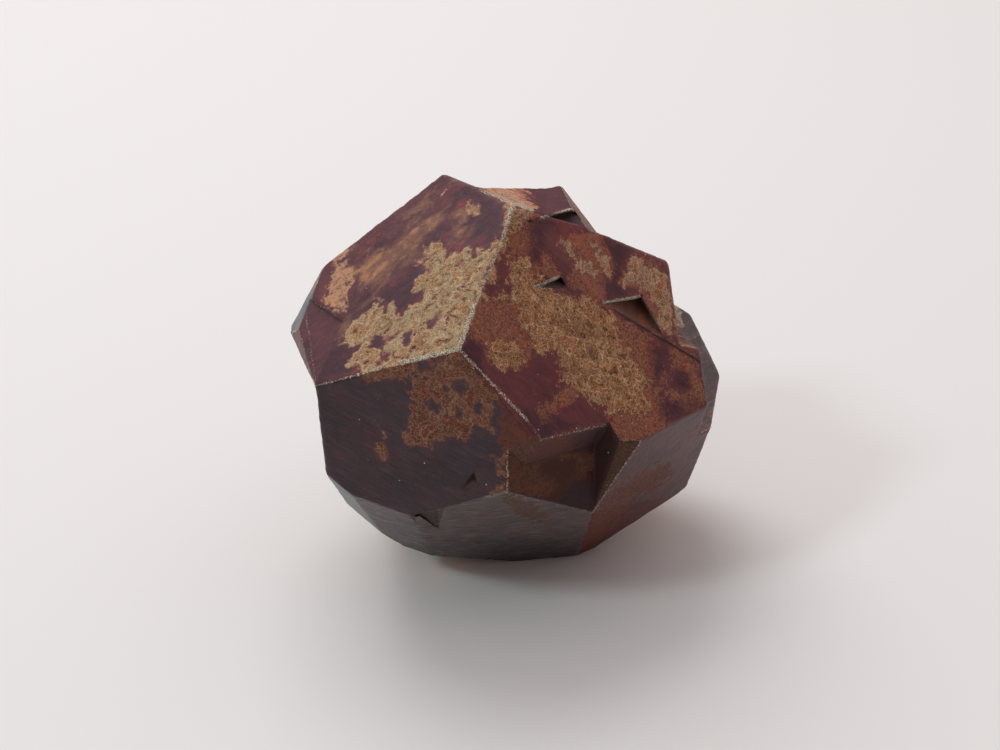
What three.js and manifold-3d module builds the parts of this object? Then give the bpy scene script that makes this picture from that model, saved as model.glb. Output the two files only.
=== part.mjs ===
// Pyrite crystal: one natural solid, a pyritohedron of pentagonal faces with intergrown steps.
// Units are millimetres, +Z is up, and the crystal stands on the flat patch at z = 0.
import * as THREE from 'three';
import { ConvexGeometry } from 'three/addons/geometries/ConvexGeometry.js';
import { mergeVertices } from 'three/addons/utils/BufferGeometryUtils.js';
import Module from 'manifold-3d';

const wasm = await Module();
wasm.setup();

// ---------- driving dimensions ----------
const CENTRE_HEIGHT = 6.88;   // crystal centre above the resting patch
const BLOCK_SIZE = 40;        // side of the blank that each set of facets is cut from

// A facet is a flat plane: the compass bearing and the upward tilt of its outward normal (degrees),
// and how far it lies from the crystal centre (mm).
const facet = (bearing, tilt, reach) => ({ bearing, tilt, reach });

// Main crystal: the twelve pentagonal faces first, then the small faces across its corners.
const MAIN = {
  crownLeft: facet(-140, 53.5, 6.04),
  crownRight: facet(-45.8, 32.3, 5.21),
  front: facet(-104.2, -4, 5.66),
  flankRight: facet(-45.5, -25.6, 5.58),
  flankLeft: facet(173.5, -2.7, 4.76),
  top: facet(34.9, 65.4, 6.11),
  backLeft: facet(135.5, 35.5, 5.4),
  sideRight: facet(14.1, 0.8, 6.28),
  back: facet(69.9, 3.8, 6.2),
  underBack: facet(130.8, -27.3, 6.3),
  underLeft: facet(-134.7, -68.1, 6.37),
  underRight: facet(41.8, -58.7, 7.35),
  topBack: facet(44.8, 49.8, 4.93),
  bevelFront: facet(-81.1, -40, 4.97),
  bevelNose: facet(-64, -21.8, 5.33),
  bevelRight: facet(-50.7, -35.1, 5.61),
  bevelFrontLeft: facet(-115.6, -40, 5.75),
  bevelLeft: facet(-138.9, -35.8, 6.17),
  bevelLeftLow: facet(-165.5, -44.1, 6.26),
  rest: facet(0, -90, CENTRE_HEIGHT),
};

// Intergrown pieces share most of those faces; only the ones listed here differ.
const LEFT_TWIN = {
  ...MAIN,
  flankLeft: facet(-165.4, -3.7, 6.26),
  cornerLeft: facet(177.7, 24.8, 6.68),
  underLeft: facet(-157.7, -47, 3.05),
};
const RIGHT_TWIN = {
  ...MAIN,
  crownRight: facet(-45.8, 32.3, 3.63),
  top: facet(58.7, 54.2, 5.16),
  sideRight: facet(14.5, 22.9, 6.84),
  flankRightBack: facet(-5.2, -11.5, 7.43),
};
const TOP_TWIN = { ...MAIN, topBack: facet(129.8, 47.5, 5.11) };
const BROW_TWIN = { ...TOP_TWIN, top: facet(102.6, 74.2, 5.77) };
// Low slab standing proud of the right crown face; its front wall runs down to the right.
const RIGHT_SLAB = {
  ...TOP_TWIN,
  crownRight: facet(-50.9, 29.6, 5.05),
  slabWall: facet(-108.5, -36, -1.55),
};
// Two low slabs on the far side, one step above the back face and one above the left back face.
const BACK_SLAB = {
  ...MAIN,
  back: facet(72.5, 2, 6.62),
  slabWall: facet(150, -18, 2.2),
  slabTop: facet(40, 52, 4.6),
};
const LOW_SLAB = {
  ...MAIN,
  underBack: facet(128, -30, 6.62),
  slabWall: facet(66, 22, 1.7),
  slabSide: facet(-158, 12, 3.6),
};

// Ends of the upper pieces: everything beyond both facets of a pair is missing.
const TOP_RIGHT_END = [facet(58.7, 54.2, 5.16), facet(13.4, 34.7, 5.48)];
const SIDE_RIGHT_END = [facet(7.2, 4.8, 5.92), facet(52.1, 67.4, 2.75)];

// Hollow under the lower edge of the right crown face: a sunk floor, two risers and a right wall.
const HOLLOW_FLOOR = facet(-53.7, -6.4, 5.01);
const HOLLOW_WALL = facet(-130.4, -6.7, 0.91);
const HOLLOW_RISERS = [facet(-84, -27.3, 5.01), facet(-56.2, -32.3, 4.35)];

// Shallow step on the left crown face.
const STEP_FLOOR = facet(-150, 50.6, 6.18);
const STEP_WALL = facet(35.3, 36.4, -2.31);

// Three-cornered re-entrant pits. Each lies on one face of the main crystal; its three mouth
// corners and its deepest point are [across, up the slope, height above the face] in mm,
// from the foot of the perpendicular that comes out of the crystal centre.
const PITS = [
  { face: 'crownRight', mouth: [[0.96, 1.13, 0.02], [2.6, 0.83, 0.13], [2.9, -0.85, 0.1]],
    deepest: [3.1, 0.67, -0.56] },
  { face: 'crownRight', mouth: [[-1.29, 2.4, 0.02], [-0.14, 2.45, 0.03], [-0.06, 1.96, 0.02]],
    deepest: [0.09, 2.32, -0.32] },
  { face: 'crownRight', mouth: [[-0.61, 4.36, 0.02], [1.53, 4.15, 0.06], [1.67, 3.48, 0.05]],
    deepest: [1.82, 4.04, -0.5] },
  { face: 'front', mouth: [[-1.49, -1.9, 0.03], [-0.07, -1.32, 0.05], [-0.72, -2.97, -1.08]],
    deepest: [-0.5, -1.6, -0.29] },
  { face: 'front', mouth: [[0.42, -0.54, 0.02], [0.87, 0.28, 0.02], [0.97, -0.27, 0.02]],
    deepest: [0.74, -0.1, -0.24] },
  { face: 'back', mouth: [[-1.6, 1.5, 0.04], [-0.1, 1.9, 0.5], [-0.4, 0.7, 0.5]],
    deepest: [0.1, 1.6, -0.35] },
  { face: 'backLeft', mouth: [[1.2, -0.9, 0.04], [2.5, -1.4, 0.04], [1.5, -1.9, 0.04]],
    deepest: [1.5, -1, -0.34] },
  { face: 'underRight', mouth: [[-1.2, 1.4, 0.04], [0.1, 1.2, 0.04], [-0.3, 0.4, 0.04]],
    deepest: [-0.2, 1, -0.3] },
  { face: 'underLeft', mouth: [[-2.3, 0.2, 0.04], [-1.1, 0.9, 0.04], [-1.2, -0.1, 0.04]],
    deepest: [-0.9, 0.5, -0.3] },
];

const rad = THREE.MathUtils.degToRad;
const centre = new THREE.Vector3(0, 0, CENTRE_HEIGHT);

function plane({ bearing, tilt, reach }) {
  const normal = new THREE.Vector3(
    Math.cos(rad(tilt)) * Math.cos(rad(bearing)),
    Math.cos(rad(tilt)) * Math.sin(rad(bearing)),
    Math.sin(rad(tilt)),
  );
  return new THREE.Plane(normal, -(reach + normal.dot(centre)));
}
// The other side of a facet: the space beyond it instead of the material behind it.
const beyond = ({ bearing, tilt, reach }) => facet(bearing + 180, -tilt, -reach);

// Corner points where three planes meet and that lie behind all the others.
function corners(planes) {
  const points = [];
  for (let i = 0; i < planes.length; i++) {
    for (let j = i + 1; j < planes.length; j++) {
      for (let k = j + 1; k < planes.length; k++) {
        const [a, b, c] = [planes[i], planes[j], planes[k]];
        const bc = b.normal.clone().cross(c.normal);
        const det = a.normal.dot(bc);
        if (Math.abs(det) < 1e-6) continue;
        const point = bc.multiplyScalar(-a.constant)
          .add(c.normal.clone().cross(a.normal).multiplyScalar(-b.constant))
          .add(a.normal.clone().cross(b.normal).multiplyScalar(-c.constant))
          .divideScalar(det);
        if (planes.every((p) => p.distanceToPoint(point) < 1e-6)) points.push(point);
      }
    }
  }
  return points;
}

function toManifold(geometry) {
  const g = geometry.clone();
  g.deleteAttribute('normal');
  g.deleteAttribute('uv');
  const merged = mergeVertices(g, 1e-5);
  return new wasm.Manifold(new wasm.Mesh({
    numProp: 3,
    vertProperties: new Float32Array(merged.attributes.position.array),
    triVerts: new Uint32Array(merged.index.array),
  }));
}

// A convex crystal bounded by facets.
function crystal(facets) {
  const planes = Object.values(facets).map(plane);
  const half = BLOCK_SIZE / 2;
  const box = [];
  for (const axis of ['x', 'y', 'z']) {
    for (const sign of [-1, 1]) {
      const n = new THREE.Vector3();
      n[axis] = sign;
      box.push(new THREE.Plane(n, -(half + n.dot(centre))));
    }
  }
  return toManifold(new ConvexGeometry(corners([...planes, ...box])));
}

// A point on or near a facet, given by its offsets across, up the slope and above it.
function onFacet(face, [across, up, height]) {
  const { normal } = plane(face);
  const acrossDir = new THREE.Vector3(0, 0, 1).cross(normal).normalize();
  const upDir = normal.clone().cross(acrossDir);
  return centre.clone()
    .addScaledVector(normal, face.reach + height)
    .addScaledVector(acrossDir, across)
    .addScaledVector(upDir, up);
}

function pit({ face, mouth, deepest }) {
  const points = [...mouth, deepest].map((offsets) => onFacet(MAIN[face], offsets));
  return toManifold(new ConvexGeometry(points));
}

let body = crystal(MAIN);
for (const twin of [LEFT_TWIN, TOP_TWIN, BROW_TWIN, RIGHT_SLAB, BACK_SLAB, LOW_SLAB]) {
  body = body.add(crystal(twin));
}
for (const end of [TOP_RIGHT_END, SIDE_RIGHT_END]) {
  body = body.subtract(crystal(end.map(beyond)));
}
body = body.add(crystal(RIGHT_TWIN));
for (const riser of HOLLOW_RISERS) {
  body = body.subtract(crystal([HOLLOW_FLOOR, HOLLOW_WALL, riser].map(beyond)));
}
body = body.subtract(crystal([beyond(STEP_FLOOR), STEP_WALL]));
for (const hole of PITS) {
  body = body.subtract(pit(hole));
}

const out = body.getMesh();
const geometry = new THREE.BufferGeometry();
geometry.setAttribute('position', new THREE.BufferAttribute(new Float32Array(out.vertProperties), 3));
geometry.setIndex(new THREE.BufferAttribute(new Uint32Array(out.triVerts), 1));

// The part stands at the origin: the middle of the bottom of its bounding box.
geometry.computeBoundingBox();
const { min, max } = geometry.boundingBox;
geometry.translate(-(min.x + max.x) / 2, -(min.y + max.y) / 2, -min.z);

const mesh = new THREE.Mesh(
  geometry,
  new THREE.MeshStandardMaterial({ color: 0x6b4a3c, roughness: 0.5, metalness: 0.3 }),
);
mesh.name = 'pyrite_crystal';
const group = new THREE.Group();
group.name = 'pyrite_crystal_part';
group.add(mesh);
export default group;
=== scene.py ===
import math
from collections import namedtuple

import bmesh
import bpy
import numpy as np
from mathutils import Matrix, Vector, geometry, kdtree, noise


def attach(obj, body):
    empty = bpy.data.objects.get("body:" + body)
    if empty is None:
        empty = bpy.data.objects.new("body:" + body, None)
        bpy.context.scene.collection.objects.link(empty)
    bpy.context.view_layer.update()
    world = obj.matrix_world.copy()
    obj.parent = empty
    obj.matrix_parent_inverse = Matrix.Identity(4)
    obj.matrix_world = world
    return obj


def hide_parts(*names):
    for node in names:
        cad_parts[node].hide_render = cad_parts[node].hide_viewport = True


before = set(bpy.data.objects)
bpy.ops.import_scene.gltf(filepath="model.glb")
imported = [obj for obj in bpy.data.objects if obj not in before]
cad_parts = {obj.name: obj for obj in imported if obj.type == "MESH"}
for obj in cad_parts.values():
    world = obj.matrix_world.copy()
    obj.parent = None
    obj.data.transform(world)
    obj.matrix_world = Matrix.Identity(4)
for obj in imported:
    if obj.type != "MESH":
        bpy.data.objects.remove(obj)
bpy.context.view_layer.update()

# Lengths are in millimetres until a mesh or an object is made, which Blender wants in metres.
MM = 0.001
NODE = "pyrite_crystal"

# ---------- camera ----------
CRYSTAL_CENTRE = np.array([-0.425, -0.58, 6.88])
CAMERA_TILT = 28.5          # degrees that the camera looks down
CAMERA_DISTANCE = 66.0      # from the crystal's centre, along the line of sight
CAMERA_RIGHT, CAMERA_UP = 0.215, 0.08    # from the line through the crystal's centre
LENS, SENSOR = 72.0, 36.0
FRAME_WIDTH, FRAME_HEIGHT = 1000, 750
PIXELS_PER_SLOPE = FRAME_WIDTH * LENS / SENSOR

tilt = math.radians(CAMERA_TILT)
RIGHT = np.array([1.0, 0.0, 0.0])
UP = np.array([0.0, math.sin(tilt), math.cos(tilt)])
BACK = np.array([0.0, -math.cos(tilt), math.sin(tilt)])
CAMERA_AT = CRYSTAL_CENTRE + CAMERA_DISTANCE * BACK + CAMERA_RIGHT * RIGHT + CAMERA_UP * UP


def in_view(points):
    """Where the camera sees points given in mm: pixels across and down its frame."""
    away = points - CAMERA_AT
    depth = -(away @ BACK)
    across = FRAME_WIDTH / 2 + PIXELS_PER_SLOPE * (away @ RIGHT) / depth
    down = FRAME_HEIGHT / 2 - PIXELS_PER_SLOPE * (away @ UP) / depth
    return np.stack([across, down], axis=1)


# ---------- fine mesh over the CAD solid ----------
FINE, COARSE = 0.07, 0.108    # side of the small triangles on the faces the camera sees, and on the others
JITTER = 0.18     # how far a face's inner points stray from an even grid, in triangle sides
CLEARANCE = 0.55  # how far they keep from the face's rim, in triangle sides
WELD = 0.001      # corners of the CAD mesh that are nearer than this become one
MERGE = 0.002     # points of the fine mesh that are nearer than this become one
LEVEL = 0.004     # how far off a crystal face's plane a CAD triangle's corners may lie
STEEP = 0.5       # least cosine between a CAD triangle's normal, inexact on a sliver, and its face's
SLIVER = 1e-9     # a triangle with less area than this is no use
SLACK = 1e-6      # how far outside a triangle a point may be, in its sides, and still count as inside
TINY = 1e-12      # keeps a division from being by nothing
SAME_POINT = 1e-7 # flat points that are nearer than this become one


def sides_of(triangle):
    a, b, c = triangle
    return (a, b), (b, c), (c, a)


def welded_solid():
    """The CAD solid as a bmesh in mm, with its doubled corners joined."""
    bm = bmesh.new()
    bm.from_mesh(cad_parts[NODE].data)
    bmesh.ops.scale(bm, vec=(1 / MM,) * 3, verts=bm.verts)
    bmesh.ops.remove_doubles(bm, verts=bm.verts, dist=WELD)
    bmesh.ops.dissolve_degenerate(bm, dist=WELD, edges=bm.edges)
    bmesh.ops.triangulate(bm, faces=bm.faces)
    bm.normal_update()
    bm.faces.ensure_lookup_table()
    bm.verts.index_update()
    return bm


def crystal_faces(bm):
    """Groups the triangles into flat crystal faces, and gives each triangle its group's number."""
    label = {}
    groups = []
    for seed in sorted(bm.faces, key=lambda f: -f.calc_area()):
        if seed in label:
            continue
        group, todo = [], [seed]
        middle, normal = seed.calc_center_median(), seed.normal.copy()
        label[seed] = len(groups)
        while todo:
            face = todo.pop()
            group.append(face)
            for edge in face.edges:
                for other in edge.link_faces:
                    level = all(abs((v.co - middle).dot(normal)) < LEVEL for v in other.verts)
                    if other not in label and level and other.normal.dot(normal) > STEEP:
                        label[other] = len(groups)
                        todo.append(other)
        groups.append(group)
    return groups, label


def split_edges(bm, label, spacing_of):
    """Splits each edge between crystal faces evenly: all the points, and each edge's chain of them."""
    points = [np.array(v.co) for v in bm.verts]
    chains = {}
    for edge in bm.edges:
        one, two = (label[f] for f in edge.link_faces)
        if one == two:
            continue
        start, end = edge.verts
        parts = max(1, round(edge.calc_length() / min(spacing_of[one], spacing_of[two])))
        chain = [start.index]
        for k in range(1, parts):
            chain.append(len(points))
            points.append(np.array(start.co.lerp(end.co, k / parts)))
        chains[edge] = chain + [end.index]
    return points, chains


def inside(flat, corners):
    """Which flat points lie in any of the flat triangles."""
    found = np.zeros(len(flat), bool)
    for a, b, c in corners:
        area = (b[0] - a[0]) * (c[1] - a[1]) - (b[1] - a[1]) * (c[0] - a[0])
        if abs(area) < SLIVER:
            continue
        u = ((flat[:, 0] - a[0]) * (c[1] - a[1]) - (flat[:, 1] - a[1]) * (c[0] - a[0])) / area
        v = ((b[0] - a[0]) * (flat[:, 1] - a[1]) - (b[1] - a[1]) * (flat[:, 0] - a[0])) / area
        found |= (u > -SLACK) & (v > -SLACK) & (u + v < 1 + SLACK)
    return found


def from_segments(flat, starts, ends):
    """Distance of flat points from the nearest of some segments."""
    best = np.full(len(flat), np.inf)
    for a, b in zip(starts, ends):
        along = b - a
        t = np.clip((flat - a) @ along / max(along @ along, TINY), 0, 1)
        best = np.minimum(best, np.linalg.norm(flat - a - t[:, None] * along, axis=1))
    return best


def inner_points(rim, segments, corners, spacing, rng):
    """Nearly even points inside a face, clear of its rim."""
    low, high = rim.min(axis=0), rim.max(axis=0)
    rows = np.arange(low[1], high[1], spacing * math.sqrt(3) / 2)
    grid = np.array([
        (x + (k % 2) * spacing / 2, y)
        for k, y in enumerate(rows)
        for x in np.arange(low[0], high[0], spacing)
    ]).reshape(-1, 2)
    grid += rng.uniform(-JITTER, JITTER, grid.shape) * spacing
    grid = grid[inside(grid, corners)]
    starts, ends = np.array(segments).T
    return grid[from_segments(grid, rim[starts], rim[ends]) > CLEARANCE * spacing]


def within_rim(triangles, rim_edges, spots, corners):
    """The triangles inside a face's rim: the largest, and all it reaches without crossing the rim."""
    triangles = [list(t) for t in triangles]
    beside = {}
    for k, t in enumerate(triangles):
        for side in sides_of(t):
            beside.setdefault(tuple(sorted(side)), []).append(k)
    corners_of = spots[np.array(triangles)]
    one, two = corners_of[:, 1] - corners_of[:, 0], corners_of[:, 2] - corners_of[:, 0]
    area = np.abs(one[:, 0] * two[:, 1] - one[:, 1] * two[:, 0]) / 2
    area[~inside(corners_of.mean(axis=1), corners)] = 0
    todo = [int(area.argmax())]
    kept = set(todo)
    while todo:
        for side in sides_of(triangles[todo.pop()]):
            edge = tuple(sorted(side))
            if edge in rim_edges:
                continue
            for k in beside[edge]:
                if k not in kept:
                    kept.add(k)
                    todo.append(k)
    return [triangles[k] for k in sorted(kept)]


def fill_face(group, chains, points, spacing, rng):
    """Fills one crystal face with even triangles that share its neighbours' edge points."""
    normal = Vector(group[0].normal)
    across = normal.orthogonal().normalized()
    axes = np.array([across, normal.cross(across)])
    rim_chains = [chains[e] for f in group for e in f.edges if e in chains]
    ids = sorted({i for chain in rim_chains for i in chain})
    place = {i: k for k, i in enumerate(ids)}
    edge_points = np.array([points[i] for i in ids])
    middle = edge_points.mean(axis=0)
    rim = (edge_points - middle) @ axes.T
    segments = [(place[a], place[b]) for chain in rim_chains for a, b in zip(chain, chain[1:])]
    corners = [[(np.array(v.co) - middle) @ axes.T for v in f.verts] for f in group]
    grid = inner_points(rim, segments, corners, spacing, rng)

    flat = np.concatenate([rim, grid])
    spots, made_edges, made, sources, edge_sources, _ = geometry.delaunay_2d_cdt(
        [Vector(p) for p in flat], segments, [], 0, SAME_POINT
    )
    spots = np.array([v[:] for v in spots])
    owner = ids + list(range(len(points), len(points) + len(grid)))
    points.extend(middle + grid @ axes)
    corner_of = []
    for spot, source in zip(spots, sources):
        if source:
            corner_of.append(owner[source[0]])
            continue
        corner_of.append(len(points))
        points.append(middle + spot @ axes)
    rim_edges = {tuple(sorted(e)) for e, source in zip(made_edges, edge_sources) if source}
    turned = []
    for t in within_rim(made, rim_edges, spots, corners):
        a, b, c = spots[t]
        if (b[0] - a[0]) * (c[1] - a[1]) < (b[1] - a[1]) * (c[0] - a[0]):
            t = t[::-1]
        turned.append([corner_of[i] for i in t])
    return turned


def tree_of(places):
    """A tree that finds the nearest of some places."""
    tree = kdtree.KDTree(len(places))
    for k, place in enumerate(places):
        tree.insert(place, k)
    tree.balance()
    return tree


def merged_numbers(points):
    """The number of each point after those that nearly coincide are made one."""
    tree = tree_of(points)
    number = np.arange(len(points))
    for k, point in enumerate(points):
        number[k] = number[min(j for _, j, _ in tree.find_range(point, MERGE))]
    return number


def without_folds(triangles):
    """Which triangles have three different corners and don't lie back to back with another one."""
    corners = np.sort(triangles, axis=1)
    whole = (corners[:, 0] < corners[:, 1]) & (corners[:, 1] < corners[:, 2])
    _, group, count = np.unique(corners, axis=0, return_inverse=True, return_counts=True)
    return whole & (count[group.ravel()] == 1)


def hole_fillers(triangles):
    """Triangles that fill the three-sided holes, and for each the number of a triangle beside it."""
    beside = {}
    for k, triangle in enumerate(triangles.tolist()):
        for side in sides_of(triangle):
            beside.setdefault(tuple(sorted(side)), []).append((k, side))
    ends = {}
    for (a, b), found in beside.items():
        if len(found) == 1:
            ends.setdefault(a, set()).add(b)
            ends.setdefault(b, set()).add(a)
    holes = sorted((a, b, c) for a in ends for b in ends[a] for c in ends[a] & ends[b] if a < b < c)
    fillers, neighbours = [], []
    for a, b, c in holes:
        neighbour, side = beside[a, b][0]
        fillers.append((b, a, c) if side == (a, b) else (a, b, c))
        neighbours.append(neighbour)
    return np.array(fillers, int).reshape(-1, 3), neighbours


def closed(points, triangles, owners, edges):
    """The surface with each side of a triangle shared by just two, and without unused points."""
    number = merged_numbers(points)
    triangles = number[triangles]
    kept = without_folds(triangles)
    triangles, owners = triangles[kept], owners[kept]
    fillers, neighbours = hole_fillers(triangles)
    triangles = np.concatenate([triangles, fillers])
    owners = np.concatenate([owners, owners[neighbours]])
    used, triangles = np.unique(triangles, return_inverse=True)
    place = {int(k): i for i, k in enumerate(used)}
    edges = [([place[int(number[k])] for k in chain], angle) for chain, angle in edges]
    return points[used], triangles.reshape(-1, 3), owners, edges


def fine_surface():
    """The CAD solid's surface as small even triangles.

    Returns the points, the triangles, each triangle's crystal face, the edges between faces as
    (chain of point numbers, signed angle), with ridges positive and grooves negative, and the
    faces' normals.
    """
    bm = welded_solid()
    groups, label = crystal_faces(bm)
    normals = [np.array(group[0].normal) for group in groups]
    middles = [np.mean([f.calc_center_median() for f in group], axis=0) for group in groups]
    seen = [(CAMERA_AT - m) @ n > 0 for m, n in zip(middles, normals)]
    spacing_of = [FINE if s else COARSE for s in seen]
    points, chains = split_edges(bm, label, spacing_of)
    rng = np.random.default_rng(5)
    triangles, owners = [], []
    for k, group in enumerate(groups):
        made = fill_face(group, chains, points, spacing_of[k], rng)
        triangles += made
        owners += [k] * len(made)
    edges = [(chain, edge.calc_face_angle_signed(0)) for edge, chain in chains.items()]
    bm.free()
    return *closed(np.array(points), np.array(triangles), np.array(owners), edges), np.array(normals)


points, triangles, owners, edges, face_normals = fine_surface()


# ---------- wear and relief ----------
RIDGE, GROOVE = math.radians(14), math.radians(-26)   # flatter edges are neither worn nor shaded
EDGE_SAMPLES = (0, 0.25, 0.5, 0.75)    # where each step along an edge is sampled
ROUNDING_REACH = 0.14     # how far from a ridge it is rounded
ROUNDING_STEPS = 4
ROUNDING, ROUNDING_SWING, ROUNDING_MOST = 0.55, 0.35, 0.75   # how strongly, which varies by the swing
ROUNDING_SIZE = 0.5       # size of the lumps it varies by
SWELL, SWELL_SIZE = 0.014, 1.3        # height and size of the slow waviness of the faces
GRAIN, GRAIN_SIZE = 0.006, 0.28       # height and size of their fine unevenness
CHIP_DEPTH, CHIP_SIZE = 0.05, 0.33
CHIP_REACH = 0.12         # how far from a ridge it is chipped
CHIP_START = 0.25         # the noise level where a chip starts
FADE, LACUNARITY = 0.8, 2.1    # how much weaker and finer each octave of a noise is


def distance_to_edges(places, accept):
    """Distance of each place from the nearest edge whose signed angle is accepted."""
    samples = []
    for chain, angle in edges:
        if not accept(angle):
            continue
        for a, b in zip(chain, chain[1:]):
            samples += [points[a] + t * (points[b] - points[a]) for t in EDGE_SAMPLES]
        samples.append(points[chain[-1]])
    tree = tree_of(samples)
    return np.array([tree.find(p)[2] for p in places])


def waves(places, size, octaves=3):
    """Smooth noise, about -1 to 1, with lumps of a size in mm."""
    return np.array([noise.fractal(Vector(p / size), FADE, LACUNARITY, octaves) for p in places])


def point_normals(places):
    a, b, c = (places[triangles[:, k]] for k in range(3))
    across = np.cross(b - a, c - a)
    normals = np.zeros_like(places)
    for k in range(3):
        np.add.at(normals, triangles[:, k], across)
    return normals / np.maximum(np.linalg.norm(normals, axis=1, keepdims=True), TINY)


def rounded(places, weight):
    """Moves weighted places towards the middle of their neighbours."""
    ends = np.concatenate([triangles[:, [0, 1]], triangles[:, [1, 2]], triangles[:, [2, 0]]])
    count = np.bincount(ends[:, 0], minlength=len(places)).clip(1)[:, None]
    for _ in range(ROUNDING_STEPS):
        total = np.zeros_like(places)
        np.add.at(total, ends[:, 0], places[ends[:, 1]])
        places = places + weight[:, None] * (total / count - places)
    return places


def worn_surface():
    """The points with ridges rounded and chipped, and with the faces slightly uneven."""
    by_ridge = np.clip(1 - from_ridge / ROUNDING_REACH, 0, 1)
    strength = by_ridge * (ROUNDING + ROUNDING_SWING * waves(points, ROUNDING_SIZE))
    surface = rounded(points, np.clip(strength, 0, ROUNDING_MOST))
    normals = point_normals(surface)
    relief = SWELL * waves(points, SWELL_SIZE) + GRAIN * waves(points, GRAIN_SIZE)
    chips = np.clip(waves(points, CHIP_SIZE, 2) - CHIP_START, 0, 1)
    chips *= np.clip(1 - from_ridge / CHIP_REACH, 0, 1)
    relief -= CHIP_DEPTH * chips
    surface += normals * relief[:, None]
    surface[:, 2] = surface[:, 2].clip(0)
    return surface


from_ridge = distance_to_edges(points, lambda angle: angle > RIDGE)
from_groove = distance_to_edges(points, lambda angle: angle < GROOVE)
surface = worn_surface()


# ---------- marks ----------
# Each crystal face by name. Bearing and tilt of its outward normal and the direction of its growth
# streaks from level are in degrees, and reach is its distance from the crystal's centre. Warmth is
# how strongly the streaks show and grit is how peppery the crust is. The colours are those of bare
# skin, rust and crust, 0 to 255 a channel; some skins also hold painted reflection, painted sheen and
# painted shade, as said at those faces. Matt and scratched say how dull and how scratched the skin
# is. Warmth, grit, matt and scratched are 0 to 1.
Face = namedtuple(
    "Face",
    "bearing tilt reach streaks warmth grit skin rust crust matt scratched",
    defaults=(0.0, 0.25),
)
FACES = {
    "crown_left": Face(-140, 53.5, 6.04, 75, 0.9, 0, (96, 55, 61), (188, 140, 110), (160, 132, 102), 0.1),
    "step": Face(-150, 50.6, 6.18, 75, 0.6, 0, (92, 56, 63), (150, 92, 70), (160, 130, 100), 0.1),
    "crown_right": Face(-45.8, 32.3, 5.21, -60, 0.25, 1, (113, 62, 66), (144, 86, 68), (164, 122, 90)),
    "slab": Face(-50.9, 29.6, 5.05, -60, 0.4, 0.6, (122, 74, 75), (154, 94, 78), (166, 128, 104)),
    "notch_floor": Face(-16.8, 49.7, 5.32, 0, 0.3, 1, (122, 82, 68), (110, 72, 56), (150, 116, 84), 0.8),
    "notch_wall": Face(-162, -24.5, -5.23, 0, 0.3, 1, (126, 104, 88), (100, 72, 60), (120, 100, 80), 0.8),
    "front": Face(-104.2, -4, 5.66, -24, 0.22, 0.15, (66, 52, 58), (102, 57, 45), (108, 63, 49), 0, 0.4),
    # The grey and blue-grey skins of the three bevels below are painted reflection of the pale floor.
    "bevel_front": Face(-81.1, -40, 4.97, 0, 0.15, 0.2, (99, 86, 86), (90, 66, 56), (140, 122, 104), 0, 1),
    "bevel_front_left": Face(
        -115.6, -40, 5.75, 0, 0.15, 0.2, (92, 86, 86), (120, 80, 60), (140, 122, 104), 0, 1
    ),
    "bevel_left": Face(-138.9, -35.8, 6.17, 0, 0.15, 0.2, (118, 124, 128), (120, 80, 60), (140, 122, 104)),
    "bevel_right": Face(-50.7, -35.1, 5.61, 0, 0.5, 0.2, (98, 46, 45), (110, 60, 46), (140, 122, 104)),
    "bevel_nose": Face(-64, -21.8, 5.33, 0, 0.2, 0.6, (58, 37, 34), (76, 47, 33), (114, 86, 60), 0.4),
    "flank_right": Face(-45.5, -25.6, 5.58, 20, 0.2, 0.3, (97, 73, 73), (106, 64, 54), (150, 130, 110)),
    # The twin's pale grey skin is a painted sheen of the bright light behind the crystal.
    "right_twin": Face(
        -45.8, 32.3, 3.63, 0, 0.3, 0.3, (158, 140, 138), (160, 128, 116), (184, 170, 156), 0.3
    ),
    "top": Face(34.9, 65.4, 6.11, 20, 0.3, 0.2, (88, 41, 49), (186, 116, 94), (180, 136, 110), 0.95),
    "brow": Face(102.6, 74.2, 5.77, 20, 0.3, 0.2, (84, 40, 48), (160, 100, 76), (166, 128, 104), 0.95),
    "brow_pit": Face(-3.8, 69, 6.46, 0, 0.2, 0.2, (70, 46, 46), (84, 56, 48), (120, 100, 84), 0.5),
    # The left corner's blue-grey skin is a painted sheen.
    "corner_left": Face(
        177.7, 24.8, 6.68, 0, 0.3, 0.2, (114, 122, 128), (136, 108, 96), (150, 136, 120), 0.3
    ),
    # The hollow floor's very dark skin and rust are partly painted shade of the hollow.
    "hollow_floor": Face(-53.7, -6.4, 5.01, 10, 0.3, 0.1, (64, 15, 13), (88, 53, 35), (112, 68, 42), 0.4),
    "hollow_riser": Face(-56.2, -32.3, 4.35, 0, 0.2, 0.5, (90, 48, 42), (90, 54, 42), (120, 96, 80)),
    "hollow_riser_left": Face(-84, -27.3, 5.01, 0, 0.2, 0.5, (84, 54, 42), (92, 58, 42), (120, 96, 80)),
    "hollow_wall": Face(-130.4, -6.7, 0.91, 0, 0.2, 0.5, (54, 28, 26), (78, 46, 36), (110, 84, 64), 0.4),
}
SAME_NORMAL, SAME_REACH = 0.9995, 0.06    # least cosine and most distance between two equal faces


def outward(face):
    rise, bearing = math.radians(face.tilt), math.radians(face.bearing)
    return np.array([
        math.cos(rise) * math.cos(bearing),
        math.cos(rise) * math.sin(bearing),
        math.sin(rise),
    ])


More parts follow.
